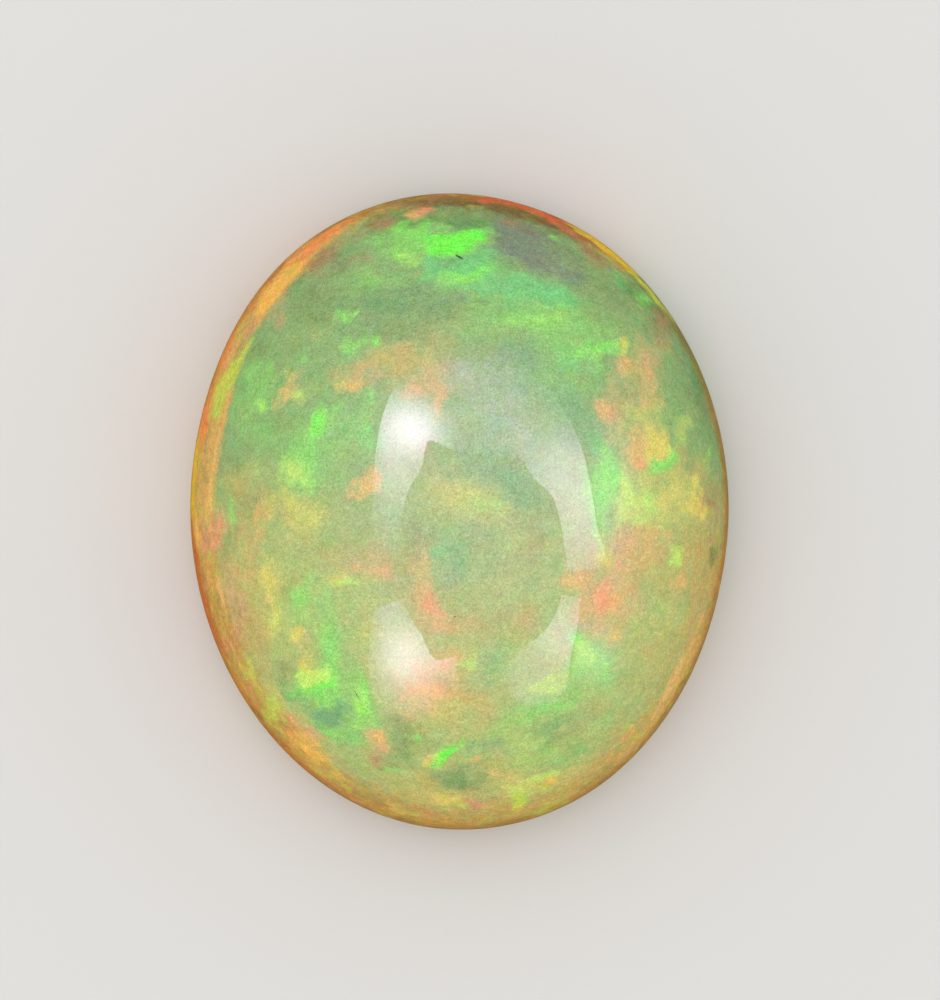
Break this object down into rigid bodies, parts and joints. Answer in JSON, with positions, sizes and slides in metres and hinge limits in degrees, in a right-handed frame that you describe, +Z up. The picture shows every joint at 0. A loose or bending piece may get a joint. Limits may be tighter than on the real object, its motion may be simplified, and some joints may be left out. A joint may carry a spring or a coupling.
{
  "type": "oval opal cabochon",
  "caption": "Oval polished precious opal cabochon with a high smooth dome, a narrow girdle, a bevelled edge and a flat back, for setting in a bezel.",
  "frame": {"origin": "under the middle of the oval, on the plane of the flat back that the stone lies on", "axes": "+Z up through the dome's crown, +Y along the oval's long axis towards the end with the fuller shoulder, +X along its short axis"},
  "size_m": [0.011, 0.013, 0.006],
  "materials": {
    "precious_opal": "polished"
  },
  "bodies": {
    "root": {"opal_cabochon": "precious_opal"}
  },
  "joints": []
}
